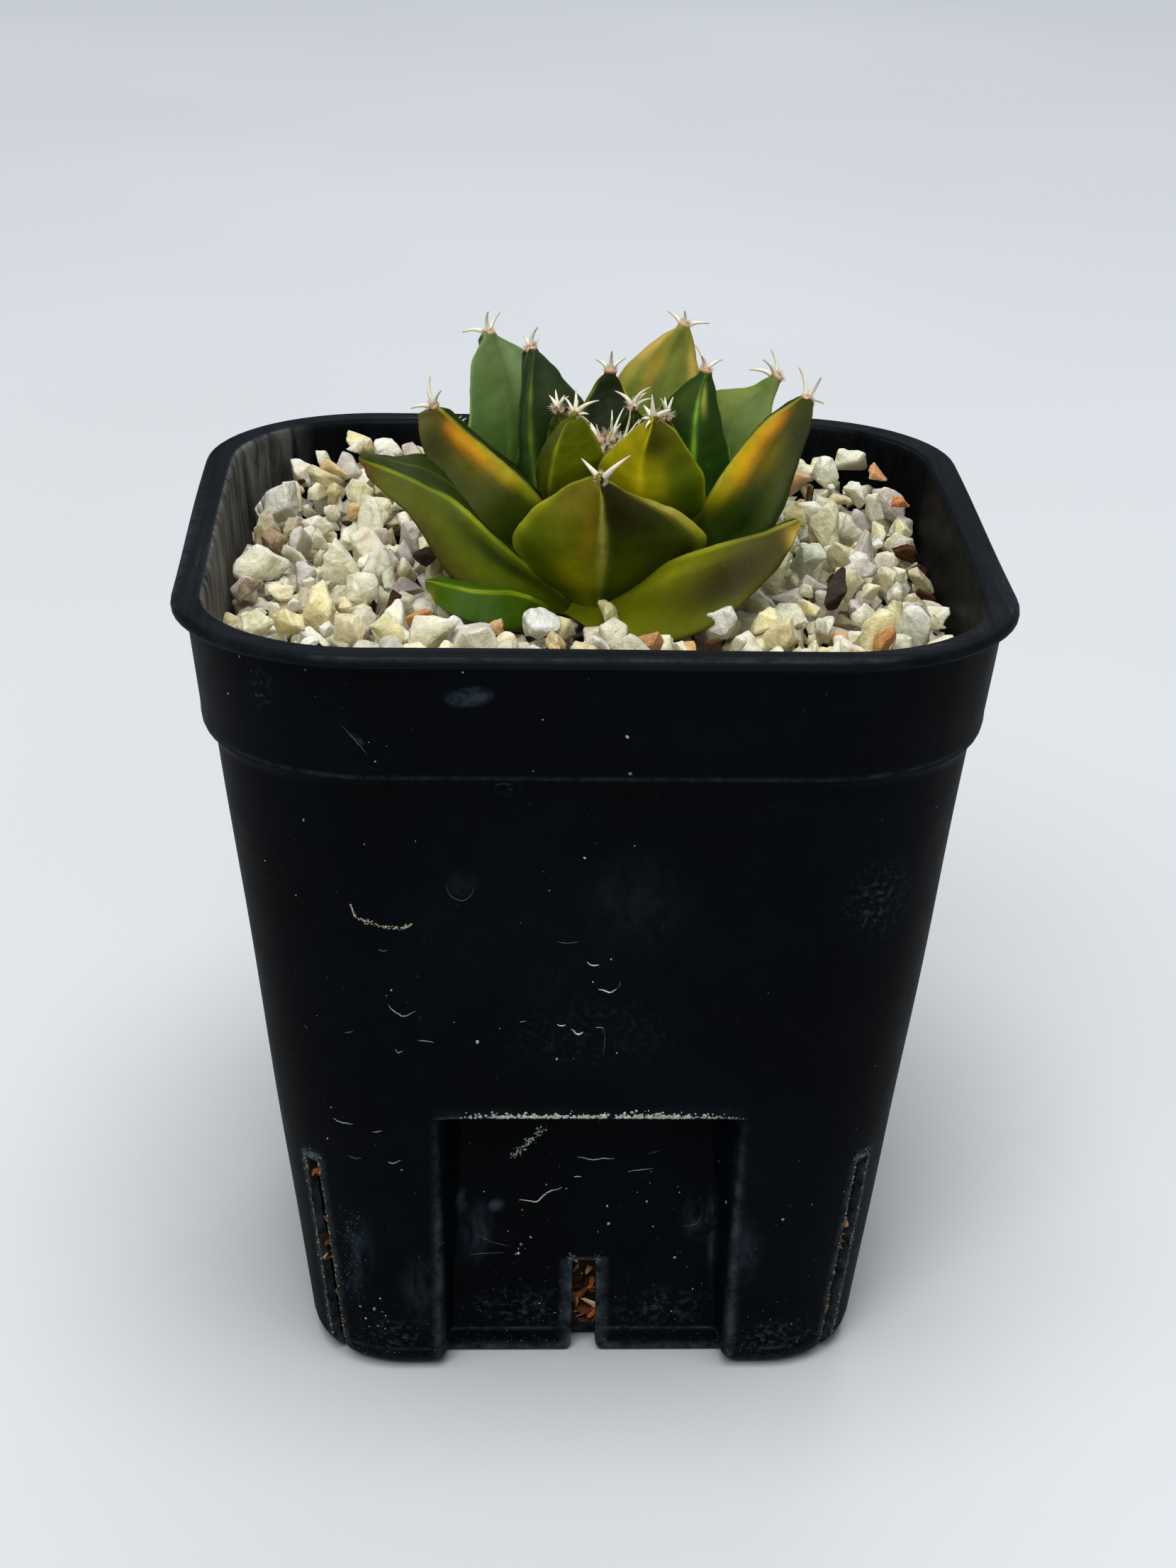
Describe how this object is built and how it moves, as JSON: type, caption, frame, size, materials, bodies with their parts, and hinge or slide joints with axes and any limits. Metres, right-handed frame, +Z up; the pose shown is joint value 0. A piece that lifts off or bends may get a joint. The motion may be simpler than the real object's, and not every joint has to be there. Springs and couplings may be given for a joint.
{
  "type": "star-shaped tubercled cactus in a square nursery pot",
  "caption": "Star-shaped cactus with long keeled tubercles and pale spines, growing in quartz gravel in a black square tapered plastic nursery pot with drainage slots.",
  "frame": {"origin": "centre of the pot's base, on the surface that it stands on", "axes": "+Z up, +X to the right and -Y to the front, square to the pot's sides"},
  "size_m": [0.09, 0.09, 0.1124],
  "materials": {
    "pot_plastic": "black moulded polypropylene, scuffed and dusty",
    "potting_mix": "rough bark and peat",
    "quartz_gravel": "crushed translucent quartz",
    "stem_skin": "matte plant skin with wool",
    "tubercle_skin": "smooth waxy plant skin, satin",
    "spines": "dry, pale, slightly glossy"
  },
  "bodies": {
    "root": {"nursery_pot": "pot_plastic", "potting_mix": "potting_mix", "gravel_top_dressing": "quartz_gravel", "stem": "stem_skin", "tubercle_01_front_broad": "tubercle_skin", "tubercle_02_inner_front_right": "tubercle_skin", "tubercle_03_inner_front_left": "tubercle_skin", "tubercle_04_young_left": "tubercle_skin", "tubercle_05_young_right": "tubercle_skin", "tubercle_06_young_back": "tubercle_skin", "tubercle_07_back_left_tall": "tubercle_skin", "tubercle_08_back_left_inner": "tubercle_skin", "tubercle_09_back_small": "tubercle_skin", "tubercle_10_back_right_tall": "tubercle_skin", "tubercle_11_back_right_inner": "tubercle_skin", "tubercle_12_right_back": "tubercle_skin", "tubercle_13_right_long": "tubercle_skin", "tubercle_14_left_long": "tubercle_skin", "tubercle_15_left_low_dry_tip": "tubercle_skin", "tubercle_16_front_left_low": "tubercle_skin", "tubercle_17_front_right_low": "tubercle_skin", "tubercle_18_rear_left": "tubercle_skin", "tubercle_19_rear_centre": "tubercle_skin", "tubercle_20_rear_right": "tubercle_skin", "tubercle_21_right_rear_low": "tubercle_skin", "tubercle_22_rear_left_low": "tubercle_skin", "spines_01": "spines", "spines_02": "spines", "spines_03": "spines", "spines_04": "spines", "spines_05": "spines", "spines_06": "spines", "spines_07": "spines", "spines_08": "spines", "spines_09": "spines", "spines_10": "spines", "spines_11": "spines", "spines_12": "spines", "spines_13": "spines", "spines_14": "spines", "spines_18": "spines", "spines_19": "spines", "spines_20": "spines", "spines_21": "spines", "spines_22": "spines", "spines_growing_tip": "spines"}
  },
  "joints": []
}
